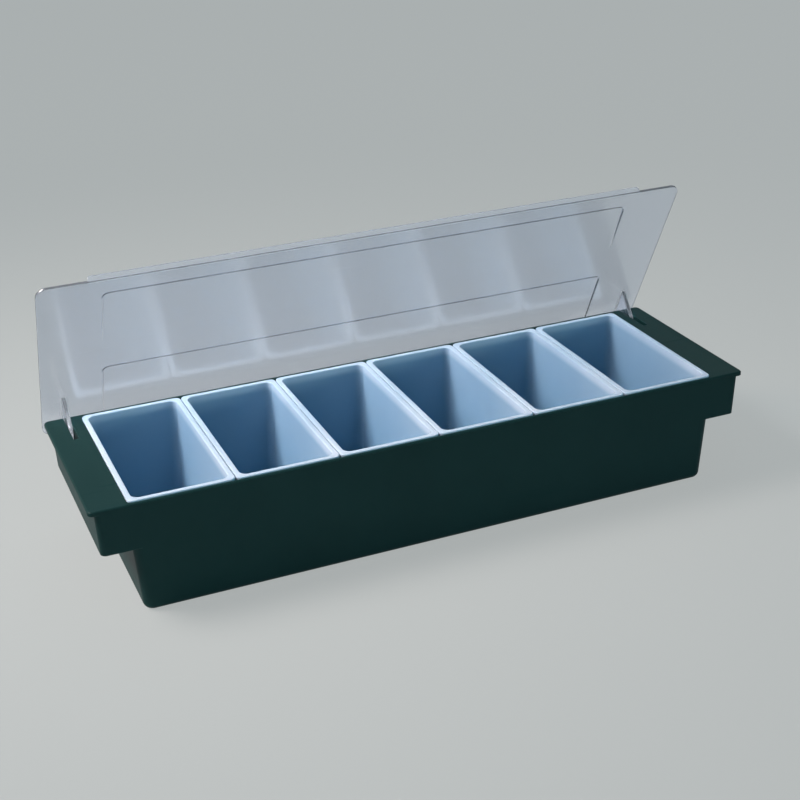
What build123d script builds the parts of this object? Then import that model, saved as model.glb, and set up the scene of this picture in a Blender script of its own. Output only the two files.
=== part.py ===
from build123d import *
import math
import os

# A bar garnish tray: a long moulded base with a hollow grip at each end, six inserts that lift
# out of it, and a clear lid that turns on studs at the two back corners. X runs along the tray,
# Y from its open front to its hinged back, Z up. The origin is the middle of the underside.

# Base
tray_length = 490
tray_depth = 150
tray_height = 83.2
wall = 2.5
floor_thickness = 2.8
flange_thickness = 3
corner_radius = 4
trough_corner_radius = 7
foot_radius = 5
edge_radius = 1.4
front_lean = 2.7
end_lean = 5.8
back_lip = 2.3

# Grip at each end: a flange with a skirt round it, open underneath
trough_inset = 24
grip_depth = 33.5
grip_lip = 4
grip_lean = 1.2

# Rebate that the inserts' rims lie in
flange_reach = 26
front_rim = 2.3
back_rim = 4.6
ledge_width = 1.8
rebate_depth = 1.2

# Inserts
insert_count = 6
rim_clearance = 0.3
rim_width = 3.8
rim_thickness = 2.2
rim_corner_radius = 4
rim_edge_radius = 0.8
insert_wall = 1.8
insert_floor = 2
insert_foot_gap = 3.4
insert_lean = 4.5
cup_corner_radius = 5.5
cup_floor_radius = 4

# Lid plate
lid_open_angle = 63
lid_thickness = 2.2
lid_gap = 0.6
lid_corner_radius = 8
lid_edge_radius = 0.5
lid_front_overhang = 0.8
lid_back_overhang = 1.2

# Lip along the lid's free edge
lip_inset = 35
lip_height = 3
lip_thickness = 1.8
lip_flare = 1.4
lip_end_radius = 2
lip_edge_radius = 0.5

# Two stepped panels across the lid
panel_inset = 44.3
panel_step = 1.5
panel_draft = 1.3
panel_corner_radius = 6
upper_panel_start = 13.4
upper_panel_end = 58
lower_panel_start = 88.6
lower_panel_end = 148.5
lower_panel_end_step = 0.8

# Hinge arms of the lid
hinge_drop = 19
hinge_inset = 8.3
arm_inset = 16
arm_thickness = 3
arm_root_front = 30
arm_root_back = 7
arm_boss_radius = 6
heel_reach = 18
heel_rise = 2
heel_radius = 3
stud_radius = 2.5
stud_chamfer = 0.5
stud_inset = 0.3

# Slots and hinge cheeks of the base
slot_side_clearance = 0.5
slot_end_clearance = 1
slot_sill = 3.5
cheek_thickness = 2.5
cheek_reach = 12
cheek_drop = 8
cheek_nose = 9
bore_clearance = 0.08

# One overrun for every cut that has to pass a face
overrun = 1

# Lines and heights that several pieces share
half_length = tray_length / 2
half_depth = tray_depth / 2
flange_under = tray_height - flange_thickness
grip_bottom = tray_height - grip_depth
ledge_height = tray_height - rebate_depth
rim_top = ledge_height + rim_thickness
rebate_half_length = half_length - flange_reach
rebate_front = -half_depth + front_rim
rebate_back = half_depth - back_rim
pivot_y = half_depth - hinge_inset
pivot_z = tray_height - hinge_drop
arm_x = half_length - arm_inset
slot_width = arm_thickness + 2 * slot_side_clearance
slot_front = pivot_y - arm_root_front - slot_end_clearance
slot_depth = grip_depth - slot_sill


def front_face(height):
    """Where the leaning front face stands at a height."""
    return -half_depth + front_lean * (tray_height - height) / tray_height


def back_face(height):
    """Where the leaning back face stands at a height, under the flange's lip."""
    return half_depth - back_lip - front_lean * (tray_height - height) / tray_height


def trough_end(height):
    """Where the trough's leaning end wall stands at a height."""
    return half_length - trough_inset - end_lean * (tray_height - height) / tray_height


def skirt_end(height):
    """Where the leaning end of a grip's skirt stands at a height."""
    return half_length - grip_lip - grip_lean * (flange_under - height) / (flange_under - grip_bottom)


def drafted(low, high, corner_radius, foot_radius=0, middle=0):
    """A block with flat leaning walls and rounded corners, the same on both sides of X = middle.

    low and high are its lowest and highest outlines, each (height, half width, front, back).
    """
    low_height, low_half_width, low_front, low_back = low
    high_height, high_half_width, high_front, high_back = high
    with BuildPart() as block:
        with BuildSketch(Plane.YZ):
            Polygon(
                (low_front, low_height),
                (low_back, low_height),
                (high_back, high_height),
                (high_front, high_height),
                align=None,
            )
        extrude(amount=tray_length, both=True)
        with BuildSketch(Plane.XZ):
            Polygon(
                (middle - low_half_width, low_height),
                (middle + low_half_width, low_height),
                (middle + high_half_width, high_height),
                (middle - high_half_width, high_height),
                align=None,
            )
        extrude(amount=tray_depth, both=True, mode=Mode.INTERSECT)
        fillet(block.edges().filter_by(Plane.XY, reverse=True), radius=corner_radius)
        if foot_radius:
            fillet(block.faces().sort_by(Axis.Z)[0].edges(), radius=foot_radius)
    return block.part


def base_outline(height, end_at, inset=0):
    """The base's outline at a height, inset from its faces, with its ends given by end_at."""
    return (height, end_at(height) - inset, front_face(height) + inset, back_face(height) - inset)


# Base: the flange, the hollow skirt of both grips under it, and the trough between them
with BuildPart() as tray:
    add(
        drafted(
            (flange_under, half_length, front_face(flange_under), half_depth),
            (tray_height, half_length, -half_depth, half_depth),
            corner_radius,
        )
    )
    fillet(tray.faces().sort_by(Axis.Z)[-1].edges(), radius=edge_radius)
    add(
        drafted(
            base_outline(grip_bottom, skirt_end), base_outline(flange_under, skirt_end), corner_radius
        )
    )
    add(
        drafted(
            base_outline(grip_bottom, skirt_end, wall),
            base_outline(flange_under, skirt_end, wall),
            corner_radius - wall,
        ),
        mode=Mode.SUBTRACT,
    )
    add(
        drafted(
            base_outline(0, trough_end),
            base_outline(flange_under, trough_end),
            trough_corner_radius,
            foot_radius,
        )
    )

    # The well widens to the ledge, so that it leaves its mould
    add(
        drafted(
            base_outline(floor_thickness, trough_end, wall),
            (
                ledge_height,
                trough_end(ledge_height) - wall,
                rebate_front + ledge_width,
                rebate_back - ledge_width,
            ),
            trough_corner_radius - wall,
            foot_radius - floor_thickness,
        ),
        mode=Mode.SUBTRACT,
    )

    # Rebate for the rims
    with BuildSketch(Plane.XY.offset(ledge_height)):
        with Locations((0, (rebate_front + rebate_back) / 2)):
            RectangleRounded(2 * rebate_half_length, rebate_back - rebate_front, rim_corner_radius)
    extrude(amount=rebate_depth + overrun, mode=Mode.SUBTRACT)

    # A slot at each back corner lets the lid's arm down into the grip
    with BuildSketch(Plane.XY.offset(tray_height - slot_depth)):
        with Locations([(side * arm_x, (slot_front + half_depth + overrun) / 2) for side in (-1, 1)]):
            Rectangle(slot_width, half_depth + overrun - slot_front)
    extrude(amount=slot_depth + overrun, mode=Mode.SUBTRACT)

    # Two cheeks beside each slot hang from the flange and meet the back wall
    cheek_back = back_face(grip_bottom) - wall / 2
    for side in (-1, 1):
        for start in (-slot_width / 2 - cheek_thickness, slot_width / 2):
            with BuildSketch(Plane.YZ.offset(side * arm_x + start)):
                Polygon(
                    (slot_front, flange_under),
                    (slot_front, flange_under - cheek_nose),
                    (pivot_y - cheek_reach, pivot_z - cheek_drop),
                    (cheek_back, pivot_z - cheek_drop),
                    (cheek_back, flange_under),
                    align=None,
                )
            extrude(amount=cheek_thickness)

        # The studs' bore goes through both cheeks
        with BuildSketch(Plane.YZ.offset(side * arm_x - slot_width / 2 - cheek_thickness)):
            with Locations((pivot_y, pivot_z)):
                Circle(stud_radius + bore_clearance)
        extrude(amount=slot_width + 2 * cheek_thickness, mode=Mode.SUBTRACT)

tray.part.label = "tray"

# Inserts: one moulding six times, each a drafted cup with a flat rim
insert_pitch = 2 * rebate_half_length / insert_count
rim_half_width = insert_pitch / 2 - rim_clearance
rim_front = rebate_front + rim_clearance
rim_back = rebate_back - rim_clearance
cup_bottom = floor_thickness + insert_foot_gap
insert_height = rim_top - cup_bottom


def cup(low, high, inset, grown, middle):
    """A drafted cup shape between two heights, inset from the rim's edge, its radii grown."""
    outlines = []
    for height in (low, high):
        lean = inset + insert_lean * (rim_top - height) / insert_height
        outlines.append((height, rim_half_width - lean, rim_front + lean, rim_back - lean))
    return drafted(*outlines, cup_corner_radius + grown, cup_floor_radius + grown, middle)


inserts = []
for number in range(insert_count):
    middle = -rebate_half_length + insert_pitch * (number + 0.5)
    with BuildPart() as insert:
        add(cup(cup_bottom, ledge_height, rim_width - insert_wall, insert_wall, middle))
        with BuildSketch(Plane.XY.offset(ledge_height)):
            with Locations((middle, (rim_front + rim_back) / 2)):
                RectangleRounded(2 * rim_half_width, rim_back - rim_front, rim_corner_radius)
        extrude(amount=rim_thickness)
        add(cup(cup_bottom + insert_floor, rim_top, rim_width, 0, middle), mode=Mode.SUBTRACT)
        fillet(insert.faces().sort_by(Axis.Z)[-1].edges(), radius=rim_edge_radius)
    insert.part.label = f"insert_{number + 1}"
    inserts.append(insert.part)

# Lid. It is drawn about its pivot, opened by its angle: lid_flat lies in the plate's own plane,
# with Y towards its hinged edge. lid_side gives its side view, with X towards the hinged edge and
# Y away from the inserts, and lid_across its view from the front, with the same Y.
open_angle = math.radians(lid_open_angle)
pivot = (0, pivot_y, pivot_z)
lid_flat = Plane(origin=pivot, x_dir=(1, 0, 0), z_dir=(0, math.sin(open_angle), math.cos(open_angle)))
lid_side = Plane(origin=pivot, x_dir=lid_flat.y_dir, z_dir=(1, 0, 0))
lid_across = Plane(origin=pivot, x_dir=(1, 0, 0), z_dir=-lid_flat.y_dir)
lid_inner = rim_top + lid_gap - pivot_z
lid_outer = lid_inner + lid_thickness
lid_front = -half_depth - lid_front_overhang - pivot_y
lid_back = half_depth + lid_back_overhang - pivot_y
panel_half_length = half_length - panel_inset


def panel(side_view, base):
    """A shallow block across the lid with leaning walls, from its side view above a base height."""
    with BuildPart() as block:
        with BuildSketch(lid_side):
            Polygon(*[(along, base + rise) for along, rise in side_view], align=None)
        extrude(amount=panel_half_length, both=True)
        with BuildSketch(lid_across):
            Polygon(
                (-panel_half_length, base),
                (panel_half_length, base),
                (panel_half_length - panel_draft, base + panel_step),
                (panel_draft - panel_half_length, base + panel_step),
                align=None,
            )
        extrude(amount=tray_depth, both=True, mode=Mode.INTERSECT)
        corners = block.edges().filter_by(lambda edge: edge.length < panel_corner_radius)
        fillet(corners, radius=panel_corner_radius)
    return block.part


# Each panel's side view is a step near the free edge that fades towards the hinge
upper_start = lid_front + upper_panel_start
lower_start = lid_front + lower_panel_start
lower_end = lid_front + lower_panel_end
lower_end_draft = panel_draft * lower_panel_end_step / panel_step
upper_view = [
    (upper_start, 0),
    (upper_start + panel_draft, panel_step),
    (lid_front + upper_panel_end, 0),
]
lower_view = [
    (lower_start, 0),
    (lower_start + panel_draft, panel_step),
    (lower_end - lower_end_draft, lower_panel_end_step),
    (lower_end, 0),
]

with BuildPart() as lid:
    with BuildSketch(lid_flat.offset(lid_inner)):
        with Locations((0, (lid_front + lid_back) / 2)):
            RectangleRounded(tray_length, lid_back - lid_front, lid_corner_radius)
    extrude(amount=lid_thickness)
    plate_faces = lid.faces().sort_by(Axis(pivot, lid_flat.z_dir))
    fillet(plate_faces[0].edges() + plate_faces[-1].edges(), radius=lid_edge_radius)

    # The same block stands proud outside and is hollowed out inside, so the wall stays even
    for side_view in (upper_view, lower_view):
        add(panel(side_view, lid_outer))
        add(panel(side_view, lid_inner), mode=Mode.SUBTRACT)

    # An arm near each end, between the cheeks of the base, with a stud out of both its sides
    stud_half_length = slot_width / 2 + cheek_thickness - stud_inset
    for side in (-1, 1):
        with BuildSketch(lid_side.offset(side * arm_x - arm_thickness / 2)):
            Circle(arm_boss_radius)
            with Locations((-heel_reach, heel_rise)):
                Circle(heel_radius)
            with Locations(((arm_root_back - arm_root_front) / 2, lid_inner + lid_thickness / 4)):
                Rectangle(arm_root_front + arm_root_back, lid_thickness / 2)
            make_hull()
        extrude(amount=arm_thickness)
        with BuildSketch(lid_side.offset(side * arm_x - stud_half_length)):
            Circle(stud_radius)
        extrude(amount=2 * stud_half_length)
    stud_rims = [
        edge
        for edge in lid.edges().filter_by(GeomType.CIRCLE)
        if abs(edge.radius - stud_radius) < stud_inset
        and abs(abs(edge.center().X) - arm_x) > arm_thickness
    ]
    chamfer(stud_rims, length=stud_chamfer)

# The lip stands up from the free edge and flares outwards, rounded at its ends
with BuildPart() as lip:
    with BuildSketch(lid_side.offset(lip_inset - half_length)):
        Polygon(
            (lid_front + lip_thickness, lid_inner + lid_edge_radius),
            (lid_front + lip_thickness, lid_outer),
            (lid_front + lip_thickness - lip_flare, lid_outer + lip_height),
            (lid_front - lip_flare, lid_outer + lip_height),
            (lid_front, lid_inner + lid_edge_radius),
            align=None,
        )
    extrude(amount=tray_length - 2 * lip_inset)
    lip_top = lip.faces().sort_by(Axis(pivot, lid_flat.z_dir))[-1]
    fillet(lip_top.edges().filter_by(Axis.X, reverse=True), radius=lip_end_radius)
    lip_top = lip.faces().sort_by(Axis(pivot, lid_flat.z_dir))[-1]
    fillet(lip_top.edges().filter_by(Axis.X), radius=lip_edge_radius)
with BuildPart() as lid_with_lip:
    add(lid.part)
    add(lip.part)
lid_with_lip.part.label = "lid"

os.makedirs("parts", exist_ok=True)
for piece in [tray.part, lid_with_lip.part, *inserts]:
    export_step(piece, f"parts/{piece.label}.step")
    print(piece.label, [round(size, 1) for size in piece.bounding_box().size])
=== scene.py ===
# %% [markdown]
# # A bar garnish tray
# A long black moulded base carries six pale inserts side by side, and a clear lid turns on studs
# at its two back corners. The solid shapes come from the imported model, so this lesson is about
# finishes: how a near-black satin moulding, a polished pale one and a clear one differ, and how
# soft studio light brings that out. Lengths are in metres, and the origin is under the base.

import bpy
import numpy as np
from mathutils import Matrix, Vector


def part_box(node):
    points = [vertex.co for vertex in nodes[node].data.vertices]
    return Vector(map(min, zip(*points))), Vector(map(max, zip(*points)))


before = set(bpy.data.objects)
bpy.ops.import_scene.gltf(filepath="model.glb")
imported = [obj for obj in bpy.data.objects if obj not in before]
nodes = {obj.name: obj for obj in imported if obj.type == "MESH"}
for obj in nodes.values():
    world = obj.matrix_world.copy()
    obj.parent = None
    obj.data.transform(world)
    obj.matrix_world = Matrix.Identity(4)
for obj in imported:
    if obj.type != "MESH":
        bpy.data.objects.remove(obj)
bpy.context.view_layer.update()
inserts = [nodes[name] for name in sorted(nodes) if name.startswith("insert_")]
print("nodes:", sorted(nodes))

# %% [markdown]
# ## Small helpers for shader nodes
# A finish is a little network of nodes. It could be wired by hand in the shader editor, but a
# script is easier to read and to change. One helper feeds a socket, one adds a node, and one
# starts a group. The others put a sum, a ramp, a noise or a mix on one line each.


# %% Helpers: feed a socket, add a node, start a group
FLOAT, VECTOR = "NodeSocketFloat", "NodeSocketVector"


def feed(tree, value, socket):
    """Links an output to a socket, or sets the socket to a number, a vector or a solid colour."""
    if isinstance(value, bpy.types.NodeSocket):
        tree.links.new(value, socket)
    elif socket.type == "RGBA":
        socket.default_value = (*value, 1.0)
    else:
        socket.default_value = value


def add_node(tree, kind, **values):
    """Adds a node. in_Scale feeds the input socket Scale, and other names set the node itself."""
    node = tree.nodes.new(kind)
    for name, value in values.items():
        if name.startswith("in_"):
            feed(tree, value, node.inputs[name.removeprefix("in_").replace("_", " ")])
        else:
            setattr(node, name, value)
    return node


def new_group(title, inputs, outputs):
    """Starts a node group. inputs and outputs pair each socket's name with its type."""
    tree = bpy.data.node_groups.new(title, "ShaderNodeTree")
    for side, sockets in (("INPUT", inputs), ("OUTPUT", outputs)):
        for name, kind in sockets.items():
            tree.interface.new_socket(name=name, in_out=side, socket_type=kind)
    return tree, tree.nodes.new("NodeGroupInput"), tree.nodes.new("NodeGroupOutput")


# %% Helpers: a sum, a ramp, a noise and two mixes
COLOUR_A, COLOUR_B, COLOUR_RESULT = 6, 7, 2  # a Mix node has a set of sockets for each data type


def calculate(tree, operation, *terms, clamp=False):
    """The result of a Math node whose inputs are the terms, in their order."""
    node = add_node(tree, "ShaderNodeMath", operation=operation, use_clamp=clamp)
    for term, socket in zip(terms, node.inputs):
        feed(tree, term, socket)
    return node.outputs["Value"]


def ramp(tree, source, low, high, start=0.0, end=1.0, kind="LINEAR"):
    """Goes from start to end while the source goes from low to high, and is level outside that."""
    node = add_node(
        tree,
        "ShaderNodeMapRange",
        interpolation_type=kind,
        in_Value=source,
        in_From_Min=low,
        in_From_Max=high,
        in_To_Min=start,
        in_To_Max=end,
    )
    return node.outputs["Result"]


def noise(tree, place, scale, detail, roughness=0.5):
    """Cloudy values from 0 to 1. The scale says how many clouds fit in one unit of the place."""
    node = add_node(
        tree,
        "ShaderNodeTexNoise",
        in_Vector=place,
        in_Scale=scale,
        in_Detail=detail,
        in_Roughness=roughness,
    )
    return node.outputs["Fac"]


def mix_colours(tree, factor, first, second):
    """The first colour where the factor is 0 and the second where it is 1."""
    node = add_node(tree, "ShaderNodeMix", data_type="RGBA", in_Factor=factor)
    feed(tree, first, node.inputs[COLOUR_A])
    feed(tree, second, node.inputs[COLOUR_B])
    return node.outputs[COLOUR_RESULT]


def mix_shaders(tree, factor, first, second, output):
    """Gives the output the first shader where the factor is 0 and the second where it is 1."""
    node = add_node(tree, "ShaderNodeMixShader")
    for value, socket in zip((factor, first, second), node.inputs):
        feed(tree, value, socket)
    feed(tree, node.outputs["Shader"], output.inputs["Surface"])


# %% [markdown]
# ## Moulded plastic has a skin
# A mould is never perfectly even: the plastic takes a very fine grain from the steel, the gloss
# drifts a little from place to place, and handling leaves short hair scratches. Pictures of real
# plastic could show these, but noise needs no file and fits any shape. One group makes the three
# as plain values, and every plastic here uses it with its own sizes and strengths.

# %% Group: moulded skin
GRAIN_DETAIL, GRAIN_ROUGHNESS = 3.0, 0.6
DRIFT_SCALE, DRIFT_DETAIL, DRIFT_ROUGHNESS = 14.0, 4.0, 0.55
HAIR_TURN, HAIR_STRETCH = (0.3, 0.2, 0.9), (9.0, 260.0, 60.0)
HAIR_SCALE, HAIR_DETAIL = 1.0, 2.0
HAIR_START, HAIR_FULL = 0.655, 0.70
NOISE_MIDDLE = 0.5


def build_skin_group():
    """Grain is fine noise, drift is broad noise about zero, and scratches are thin lines.

    A scratch is a noise stretched into hairs and kept only near its highest values. Height is
    grain times its strength plus scratches times theirs. Roughness is the base value plus drift
    times its share plus scratches times theirs.
    """
    tree, given, out = new_group(
        "moulded skin",
        dict.fromkeys(("Roughness", "Grain Scale", "Grain", "Drift", "Scratches"), FLOAT),
        dict.fromkeys(("Roughness", "Height", "Drift"), FLOAT),
    )
    value = given.outputs
    place = add_node(tree, "ShaderNodeTexCoord").outputs["Object"]
    grain = noise(tree, place, value["Grain Scale"], GRAIN_DETAIL, GRAIN_ROUGHNESS)
    cloud = noise(tree, place, DRIFT_SCALE, DRIFT_DETAIL, DRIFT_ROUGHNESS)
    drift = calculate(tree, "SUBTRACT", cloud, NOISE_MIDDLE)

    stretched = add_node(
        tree, "ShaderNodeMapping", in_Vector=place, in_Rotation=HAIR_TURN, in_Scale=HAIR_STRETCH
    )
    hair = noise(tree, stretched.outputs["Vector"], HAIR_SCALE, HAIR_DETAIL)
    line = ramp(tree, hair, HAIR_START, HAIR_FULL, kind="SMOOTHSTEP")
    scratch = calculate(tree, "MULTIPLY", line, value["Scratches"])

    uneven = calculate(tree, "MULTIPLY_ADD", drift, value["Drift"], value["Roughness"])
    rough = calculate(tree, "ADD", uneven, scratch, clamp=True)
    height = calculate(tree, "MULTIPLY_ADD", grain, value["Grain"], scratch)
    feed(tree, rough, out.inputs["Roughness"])
    feed(tree, height, out.inputs["Height"])
    feed(tree, drift, out.inputs["Drift"])
    return tree


skin_group = build_skin_group()
print("group", skin_group.name, "with", len(skin_group.nodes), "nodes")

# %% [markdown]
# ## Rounded edges, their wear and a painted highlight
# The Bevel node looks a little way round each point and gives the average direction of the
# surface there. Used as the normal it softens an edge, as a mould's radius does, and it leaves
# the mesh alone, where a Bevel modifier would cut it anew. Where it differs from the flat normal
# there is an edge, which the base paints a little paler, partly as wear and partly as a painted
# highlight.

# %% Group: edge wear
BEVEL_SAMPLES = 6


def build_edge_group():
    """Edge is one minus the cosine between the flat and the averaged normal, times the gain."""
    tree, given, out = new_group(
        "edge mask", {"Radius": FLOAT, "Gain": FLOAT}, {"Edge": FLOAT, "Normal": VECTOR}
    )
    flat = add_node(tree, "ShaderNodeNewGeometry").outputs["Normal"]
    radius = given.outputs["Radius"]
    bevel = add_node(tree, "ShaderNodeBevel", samples=BEVEL_SAMPLES, in_Radius=radius)
    rounded = bevel.outputs["Normal"]
    cosine = add_node(tree, "ShaderNodeVectorMath", operation="DOT_PRODUCT")
    feed(tree, rounded, cosine.inputs[0])
    feed(tree, flat, cosine.inputs[1])
    turned = calculate(tree, "SUBTRACT", 1.0, cosine.outputs["Value"])
    edge = calculate(tree, "MULTIPLY", turned, given.outputs["Gain"], clamp=True)
    feed(tree, edge, out.inputs["Edge"])
    feed(tree, rounded, out.inputs["Normal"])
    return tree


edge_group = build_edge_group()
print("group", edge_group.name, "with", len(edge_group.nodes), "nodes")

# %% [markdown]
# ## What the three plastics share
# All three mouldings have a skin and rounded edges, and differ in how much. They could be three
# separate networks, but then each change would be made three times. One helper wires both groups
# to a Principled shader, and each finish gives its own values.

# %% Helper: start a plastic
RELIEF_DEPTH = 0.0002


def start_plastic(title, bump, edge_radius, edge_gain=0.0, **skin_values):
    """A Principled material with the skin and edge groups already feeding roughness and normal.

    bump is the strength of the relief, edge_gain is how fast the edge mask rises, and the other
    names are inputs of the skin group.
    """
    material = bpy.data.materials.new(title)
    material.use_nodes = True
    tree = material.node_tree
    shader = tree.nodes["Principled BSDF"]
    skin = add_node(tree, "ShaderNodeGroup", node_tree=skin_group, **skin_values)
    edge = add_node(
        tree, "ShaderNodeGroup", node_tree=edge_group, in_Radius=edge_radius, in_Gain=edge_gain
    )
    relief = add_node(tree, "ShaderNodeBump", in_Strength=bump, in_Distance=RELIEF_DEPTH)
    feed(tree, skin.outputs["Height"], relief.inputs["Height"])
    feed(tree, edge.outputs["Normal"], relief.inputs["Normal"])
    feed(tree, relief.outputs["Normal"], shader.inputs["Normal"])
    feed(tree, skin.outputs["Roughness"], shader.inputs["Roughness"])
    return material, tree, shader, skin, edge


print("wires", skin_group.name, "and", edge_group.name, "to a shader")

# %% [markdown]
# ## The base: near-black satin
# Black plastic is never black. Its colour is one or two percent of a dark green-grey, and what
# the eye reads as its shape is the broad, soft gloss of a fine grain. One flat colour would look
# like paint, so two near blacks drift into each other, and edges go slightly paler, partly as
# wear and partly as a painted highlight.

# %% Base finish
BASE_COLOUR = (0.0052, 0.0240, 0.0230)
BASE_PALE = (0.0068, 0.0290, 0.0278)
BASE_WEAR_AND_HIGHLIGHT = (0.020, 0.055, 0.055)
BASE_GLOSS = 0.07
MOTTLE_REACH = 0.25

base_finish, tree, shader, skin, edge = start_plastic(
    "satin black moulding",
    bump=0.35,
    edge_radius=0.0007,
    edge_gain=5.0,
    in_Roughness=0.46,
    in_Grain_Scale=2600.0,
    in_Grain=0.5,
    in_Drift=0.14,
    in_Scratches=0.10,
)
mottle = ramp(tree, skin.outputs["Drift"], -MOTTLE_REACH, MOTTLE_REACH)
body_colour = mix_colours(tree, mottle, BASE_COLOUR, BASE_PALE)
# Edges are painted paler: partly wear, partly a painted highlight along the edges.
wear_and_highlight_colour = mix_colours(tree, edge.outputs["Edge"], body_colour, BASE_WEAR_AND_HIGHLIGHT)
feed(tree, wear_and_highlight_colour, shader.inputs["Base Color"])
feed(tree, BASE_GLOSS, shader.inputs["Specular IOR Level"])
print("finish", base_finish.name)

# %% [markdown]
# ## The inserts: polished pale blue
# These come from a polished mould, so their shine is tight, though weak, and their plastic lets a
# little light in. Looking down into one, the colour deepens to a cool blue as light bounces from
# wall to wall. Bounced light alone leaves the wells too pale, so the colour is also painted
# darker with the height of the Object coordinate, from the rim down to the floor: painted shade
# in the wells.

# %% Insert finish
RIM_COLOUR = (0.50, 0.58, 0.67)
# The wall and well colours are painted shade: the cup's colour darkens from the rim down to the
# floor.
WALL_PAINTED_SHADE = (0.28, 0.40, 0.52)
WELL_PAINTED_SHADE = (0.20, 0.35, 0.48)
CLOUD_COLOUR = (0.20, 0.34, 0.47)
CLOUD_START, CLOUD_FULL = -0.2, 1.4
RIM_DEPTH = 0.004
INSERT_GLOSS = 0.12
INSERT_GLOW, GLOW_REACH = 0.08, (0.002, 0.003, 0.004)
rim_height = max(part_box(o.name)[1].z for o in inserts)
floor_height = min(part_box(o.name)[0].z for o in inserts)

insert_finish, tree, shader, skin, _ = start_plastic(
    "polished pale moulding",
    bump=0.10,
    edge_radius=0.0006,
    in_Roughness=0.20,
    in_Grain_Scale=900.0,
    in_Grain=0.12,
    in_Drift=0.08,
    in_Scratches=0.05,
)
place = add_node(tree, "ShaderNodeTexCoord").outputs["Object"]
height = add_node(tree, "ShaderNodeSeparateXYZ", in_Vector=place).outputs["Z"]
# Painted shade: the colour darkens with height from the rim down to the floor of each well.
painted_shade_up_wall = ramp(tree, height, floor_height, rim_height - RIM_DEPTH)
rim_start, rim_full = rim_height - 2 * RIM_DEPTH, rim_height - RIM_DEPTH / 2
on_rim = ramp(tree, height, rim_start, rim_full, kind="SMOOTHSTEP")
cloud = ramp(tree, skin.outputs["Drift"], CLOUD_START, CLOUD_FULL)
painted_shade_wall_colour = mix_colours(tree, painted_shade_up_wall, WELL_PAINTED_SHADE, WALL_PAINTED_SHADE)
cup_colour_with_painted_shade = mix_colours(tree, on_rim, painted_shade_wall_colour, RIM_COLOUR)
feed(tree, mix_colours(tree, cloud, cup_colour_with_painted_shade, CLOUD_COLOUR), shader.inputs["Base Color"])
feed(tree, INSERT_GLOSS, shader.inputs["Specular IOR Level"])
feed(tree, INSERT_GLOW, shader.inputs["Subsurface Weight"])
feed(tree, GLOW_REACH, shader.inputs["Subsurface Radius"])
print("finish", insert_finish.name, "from", round(floor_height, 4), "to", round(rim_height, 4))

# %% [markdown]
# ## The lid: clear moulding
# A clear sheet is seen by its edges, its steps and what it mirrors. Alpha alone would make it
# see-through, but nothing behind it would bend at its steps, so it is a transmitting plastic. It
# has a faint smoky blue tint and many wiped-in scratches, which the coat stands for: a hazy gloss
# that spreads the inserts' reflections into soft bands. Its edges are frosted, so the edge mask
# adds to the roughness there. A path tracer gives clear plastic a full shadow, because a straight
# ray to a lamp can't bend through it, so shadow rays meet a Transparent shader instead.

# %% Lid finish
LID_COLOUR = (0.835, 0.865, 0.95)
LID_SHADOW = (0.80, 0.86, 0.90)
LID_CLARITY = 0.97
PLASTIC_IOR = 1.58
EDGE_FROST = 0.6
LID_POLISH = 0.6
LID_HAZE = 0.32

lid_finish, tree, shader, skin, edge = start_plastic(
    "clear moulding",
    bump=0.05,
    edge_radius=0.0009,
    edge_gain=3.0,
    in_Roughness=0.13,
    in_Grain_Scale=700.0,
    in_Grain=0.05,
    in_Drift=0.03,
    in_Scratches=0.10,
)
frost_terms = (edge.outputs["Edge"], EDGE_FROST, skin.outputs["Roughness"])
lid_values = {
    "Base Color": LID_COLOUR,
    "Transmission Weight": LID_CLARITY,
    "IOR": PLASTIC_IOR,
    "Roughness": calculate(tree, "MULTIPLY_ADD", *frost_terms, clamp=True),
    "Coat Weight": LID_POLISH,
    "Coat IOR": PLASTIC_IOR,
    "Coat Roughness": LID_HAZE,
}
for name, value in lid_values.items():
    feed(tree, value, shader.inputs[name])
shadow_ray = add_node(tree, "ShaderNodeLightPath").outputs["Is Shadow Ray"]
open_shadow = add_node(tree, "ShaderNodeBsdfTransparent", in_Color=LID_SHADOW).outputs["BSDF"]
surface = tree.nodes["Material Output"]
mix_shaders(tree, shadow_ray, shader.outputs["BSDF"], open_shadow, surface)
print("finish", lid_finish.name)

# %% [markdown]
# ## Dressing the solids
# A real moulding is one plastic all through, so each solid takes one material and no face has a
# slot of its own. The six inserts share theirs, as six cups from one mould do.


# %% Give each solid its finish
def dress(piece, material):
    """Makes the material the only one of a piece."""
    piece.data.materials.clear()
    piece.data.materials.append(material)


dress(nodes["tray"], base_finish)
dress(nodes["lid"], lid_finish)
for insert in inserts:
    dress(insert, insert_finish)
print("dressed", len(nodes), "solids")

# %% [markdown]
# ## A plain pale floor
# The object stands on a plain sheet so wide that its edge is lost in the distance, and the world
# beyond it has the same pale grey. It could be a curved studio sweep, but a flat disc looks the
# same from every side: a ring of points about one in the middle. Most of what the camera sees of
# it is an even grey that no lamp lights, so the sheet stays pale where the lamps fade, and the
# rest keeps the object's shadow. It isn't part of the object.

# %% Floor
FLOOR_COLOUR, FLOOR_ROUGHNESS = (0.66, 0.69, 0.67), 0.9
EVEN_COLOUR, EVEN_SHARE = (0.465, 0.485, 0.48), 0.85
FLOOR_RADIUS, FLOOR_POINTS = 60.0, 48


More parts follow.
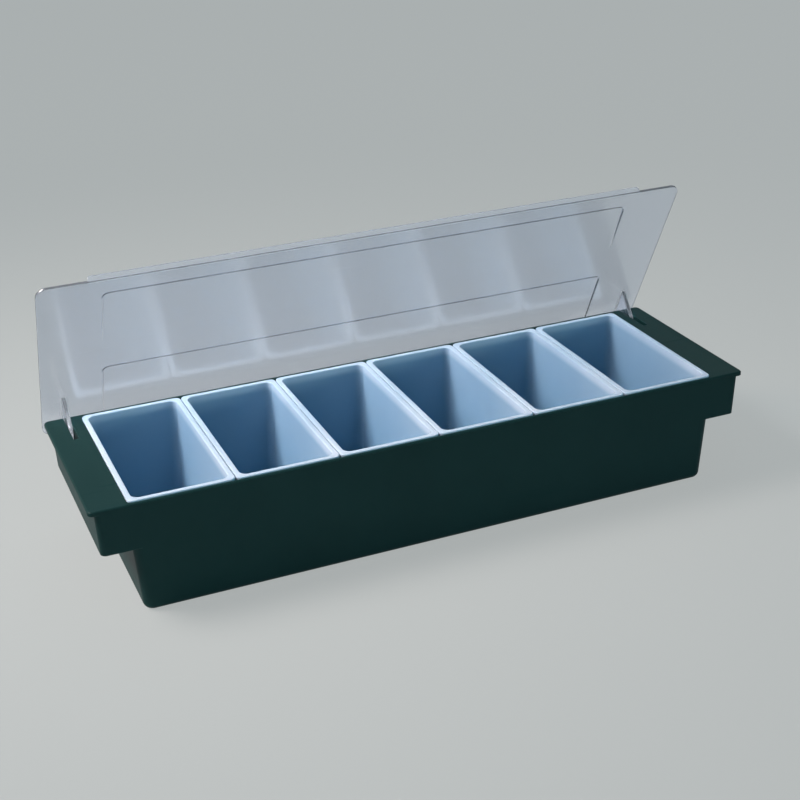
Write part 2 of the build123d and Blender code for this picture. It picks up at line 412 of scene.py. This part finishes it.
def disc(title, radius, count):
    """A flat disc whose point k stands at the radius times the cosine and sine of its angle."""
    angle = np.linspace(0.0, 2 * np.pi, count, endpoint=False)
    ring = radius * np.column_stack([np.cos(angle), np.sin(angle), np.zeros(count)])
    index = np.arange(count)
    faces = np.column_stack([index, np.roll(index, -1), np.full(count, count)])
    mesh = bpy.data.meshes.new(title)
    mesh.from_pydata(np.vstack([ring, np.zeros(3)]).tolist(), [], faces.tolist())
    piece = bpy.data.objects.new(title, mesh)
    bpy.context.scene.collection.objects.link(piece)
    return piece


def seen_ray(tree):
    """One for a ray from the camera, off a gloss or through the lid, zero for bounced light."""
    ray = add_node(tree, "ShaderNodeLightPath").outputs
    seen = ray["Is Camera Ray"]
    for kind in ("Is Glossy Ray", "Is Transmission Ray"):
        seen = calculate(tree, "MAXIMUM", seen, ray[kind])
    return seen


floor = disc("studio_floor", FLOOR_RADIUS, FLOOR_POINTS)
paper = bpy.data.materials.new("pale paper")
paper.use_nodes = True
tree = paper.node_tree
lit_paper = tree.nodes["Principled BSDF"]
feed(tree, FLOOR_COLOUR, lit_paper.inputs["Base Color"])
feed(tree, FLOOR_ROUGHNESS, lit_paper.inputs["Roughness"])
even_paper = add_node(tree, "ShaderNodeEmission", in_Color=EVEN_COLOUR).outputs["Emission"]
share = calculate(tree, "MULTIPLY", seen_ray(tree), EVEN_SHARE)
surface = tree.nodes["Material Output"]
mix_shaders(tree, share, lit_paper.outputs["BSDF"], even_paper, surface)
dress(floor, paper)
print("floor disc has", len(floor.data.polygons), "faces")

# %% [markdown]
# ## Soft studio light
# One large soft lamp stands high to the left and a little behind, so the walls that face left are
# bright and those that face the front stay dark. A grid keeps its light on the left half, and it
# fades towards the right, as in the picture. A low one with a narrower grid lifts the front of
# the base without lighting the inserts, and a weak one above softens the shadows. Point lamps
# would leave hard shadows, so all three are rectangles.


# %% Lamps
def area_lamp(title, place, aim, size, power, colour=(1.0, 1.0, 1.0), spread=180.0):
    """A rectangular lamp, turned from its place to its aim. A grid narrows it to the spread."""
    lamp = bpy.data.lights.new(title, "AREA")
    lamp.shape = "RECTANGLE"
    lamp.size, lamp.size_y = size
    lamp.energy, lamp.color, lamp.spread = power, colour, np.radians(spread)
    piece = bpy.data.objects.new(title, lamp)
    piece.location = place
    piece.rotation_euler = (Vector(aim) - Vector(place)).to_track_quat("-Z", "Y").to_euler()
    piece.visible_transmission = False  # shadow rays already carry its light through the lid
    bpy.context.scene.collection.objects.link(piece)


area_lamp(
    "key",
    place=(-1.30, 0.50, 1.38),
    aim=(-0.25, 0.05, 0.05),
    size=(0.9, 0.7),
    power=5.3,
    colour=(1.0, 0.90, 0.87),
    spread=40.0,
)
area_lamp(
    "front",
    place=(0.6, -2.4, 0.22),
    aim=(0.0, 0.0, 0.05),
    size=(1.6, 0.3),
    power=0.8,
    colour=(0.85, 1.0, 0.95),
    spread=30.0,
)
area_lamp("top", place=(0.2, 0.9, 1.8), aim=(0.0, 0.0, 0.0), size=(1.6, 1.2), power=3.0)

# %% [markdown]
# ## Sky and distance
# The sky gives the rest of the light: it is cool, and brighter near the horizon than overhead. A
# picture of a studio could do that too, but a ramp over the height needs no file. Beyond the floor
# the camera sees a plain pale grey instead, and so do reflections and the view through the lid.

# %% Sky and distance
DISTANCE_COLOUR = (0.399, 0.431, 0.434)
SKY_COLOUR = (0.05, 0.60, 0.95)
HORIZON_STRENGTH, OVERHEAD_STRENGTH, OVERHEAD_START = 0.60, 0.21, 0.5

world = bpy.data.worlds.new("studio")
bpy.context.scene.world = world
world.use_nodes = True
tree = world.node_tree
direction = add_node(tree, "ShaderNodeTexCoord").outputs["Generated"]
height = add_node(tree, "ShaderNodeSeparateXYZ", in_Vector=direction).outputs["Z"]
strength = ramp(tree, height, 0.0, OVERHEAD_START, HORIZON_STRENGTH, OVERHEAD_STRENGTH)
sky = tree.nodes["Background"]
feed(tree, SKY_COLOUR, sky.inputs["Color"])
feed(tree, strength, sky.inputs["Strength"])
distance = add_node(tree, "ShaderNodeBackground", in_Color=DISTANCE_COLOUR, in_Strength=1.0)
backdrops = (sky.outputs["Background"], distance.outputs["Background"])
mix_shaders(tree, seen_ray(tree), *backdrops, tree.nodes["World Output"])
print("sky from", HORIZON_STRENGTH, "at the horizon to", OVERHEAD_STRENGTH, "overhead")

# %% [markdown]
# ## Camera
# The tray is seen from the left of its open front and from above. A camera can be placed by hand
# until it looks right, but this place was worked out from the edges of the tray in the picture:
# an azimuth, an elevation and a distance about one point.

# %% Camera
AIM = Vector((0.0, 0.0, 0.080))
AZIMUTH, ELEVATION, ROLL = np.radians(22.1), np.radians(24.8), np.radians(2.0)
DISTANCE, LENS = 1.0785, 66.6

backwards = Vector(
    (-np.sin(AZIMUTH) * np.cos(ELEVATION), -np.cos(AZIMUTH) * np.cos(ELEVATION), np.sin(ELEVATION))
)
level = (-backwards).cross(Vector((0.0, 0.0, 1.0))).normalized()
upright = backwards.cross(level)
right = level * np.cos(ROLL) - upright * np.sin(ROLL)
up = backwards.cross(right)
view = Matrix((right, up, backwards)).transposed().to_4x4()
view.translation = AIM + backwards * DISTANCE
lens = bpy.data.cameras.new("camera")
lens.lens = LENS
camera = bpy.data.objects.new("camera", lens)
camera.matrix_world = view
bpy.context.scene.collection.objects.link(camera)
bpy.context.scene.camera = camera
bpy.context.scene.view_settings.view_transform = "Standard"
print("camera at", [round(value, 3) for value in view.translation])
